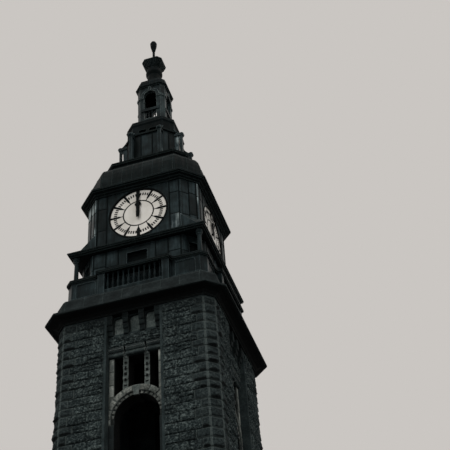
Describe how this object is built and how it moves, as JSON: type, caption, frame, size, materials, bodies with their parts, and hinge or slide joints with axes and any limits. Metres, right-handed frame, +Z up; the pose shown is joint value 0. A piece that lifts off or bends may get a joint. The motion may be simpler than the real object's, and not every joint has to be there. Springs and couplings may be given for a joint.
{
  "type": "clock tower",
  "caption": "Square stone clock tower with arched bays, a balustraded gallery, sheet-clad clock stage with turning hands, bell roof, drum with scroll brackets, open lantern and finial.",
  "frame": {"origin": "centre of the foot's underside, at ground level", "axes": "+Z up; -Y is the front face, the wide face towards the viewer; +X its right-hand side"},
  "size_m": [6.302, 6.302, 36.679],
  "materials": {
    "stone": "rock-faced, weathered",
    "trim_stone": "smooth dressed stone",
    "dark_stone": "smooth, sooted",
    "boards": "painted boards",
    "dial_enamel": "satin",
    "dial_black": "satin",
    "hand_metal": "painted, satin",
    "window_panes": "dark panes in painted frames",
    "sheet_metal": "weathered seamed sheet"
  },
  "bodies": {
    "tower": {"plinth": "stone", "shaft_walls": "stone", "corner_piers": "stone", "window_jambs": "trim_stone", "window_arches": "trim_stone", "window_mullions": "trim_stone", "window_lintels": "trim_stone", "window_sills": "trim_stone", "wall_corbels": "trim_stone", "foot_door": "boards", "main_cornice": "dark_stone", "parapet_corners": "sheet_metal", "parapet_piers": "sheet_metal", "balusters": "sheet_metal", "parapet_coping": "sheet_metal", "gallery_floor": "sheet_metal", "gallery_walls": "sheet_metal", "gallery_windows": "window_panes", "gallery_columns": "sheet_metal", "gallery_cornice": "sheet_metal", "corner_skirts": "sheet_metal", "clock_walls": "sheet_metal", "dial_rims": "sheet_metal", "dials": "dial_enamel", "dial_marks": "dial_black", "clock_cornice": "sheet_metal", "skirt_roof": "sheet_metal", "attic": "sheet_metal", "drum_walls": "sheet_metal", "drum_frieze": "sheet_metal", "scroll_brackets": "sheet_metal", "lantern_walls": "sheet_metal", "lantern_rails": "sheet_metal", "lantern_roof": "sheet_metal", "roof_neck": "sheet_metal", "top_slab": "sheet_metal", "finial": "sheet_metal"},
    "front_minute": {"front_minute_hand": "hand_metal"},
    "front_hour": {"front_hour_hand": "hand_metal"},
    "right_minute": {"right_minute_hand": "hand_metal"},
    "right_hour": {"right_hour_hand": "hand_metal"},
    "back_minute": {"back_minute_hand": "hand_metal"},
    "back_hour": {"back_hour_hand": "hand_metal"},
    "left_minute": {"left_minute_hand": "hand_metal"},
    "left_hour": {"left_hour_hand": "hand_metal"}
  },
  "joints": [
    {"name": "front_minute_turn", "type": "hinge", "parent": "tower", "child": "front_minute", "pos_m": [0, -2.13, 24.348], "axis": [0, 1, 0], "continuous": true},
    {"name": "front_hour_turn", "type": "hinge", "parent": "tower", "child": "front_hour", "pos_m": [0, -2.13, 24.348], "axis": [0, 1, 0], "continuous": true},
    {"name": "right_minute_turn", "type": "hinge", "parent": "tower", "child": "right_minute", "pos_m": [2.13, 0, 24.348], "axis": [-1, 0, 0], "continuous": true},
    {"name": "right_hour_turn", "type": "hinge", "parent": "tower", "child": "right_hour", "pos_m": [2.13, 0, 24.348], "axis": [-1, 0, 0], "continuous": true},
    {"name": "back_minute_turn", "type": "hinge", "parent": "tower", "child": "back_minute", "pos_m": [0, 2.13, 24.348], "axis": [0, -1, 0], "continuous": true},
    {"name": "back_hour_turn", "type": "hinge", "parent": "tower", "child": "back_hour", "pos_m": [0, 2.13, 24.348], "axis": [0, -1, 0], "continuous": true},
    {"name": "left_minute_turn", "type": "hinge", "parent": "tower", "child": "left_minute", "pos_m": [-2.13, 0, 24.348], "axis": [1, 0, 0], "continuous": true},
    {"name": "left_hour_turn", "type": "hinge", "parent": "tower", "child": "left_hour", "pos_m": [-2.13, 0, 24.348], "axis": [1, 0, 0], "continuous": true}
  ],
  "couplings": [
    {"joint": "front_hour_turn", "follows": "front_minute_turn", "ratio": 0.083333},
    {"joint": "right_minute_turn", "follows": "front_minute_turn", "ratio": 1},
    {"joint": "right_hour_turn", "follows": "front_minute_turn", "ratio": 0.083333},
    {"joint": "back_minute_turn", "follows": "front_minute_turn", "ratio": 1},
    {"joint": "back_hour_turn", "follows": "front_minute_turn", "ratio": 0.083333},
    {"joint": "left_minute_turn", "follows": "front_minute_turn", "ratio": 1},
    {"joint": "left_hour_turn", "follows": "front_minute_turn", "ratio": 0.083333}
  ]
}
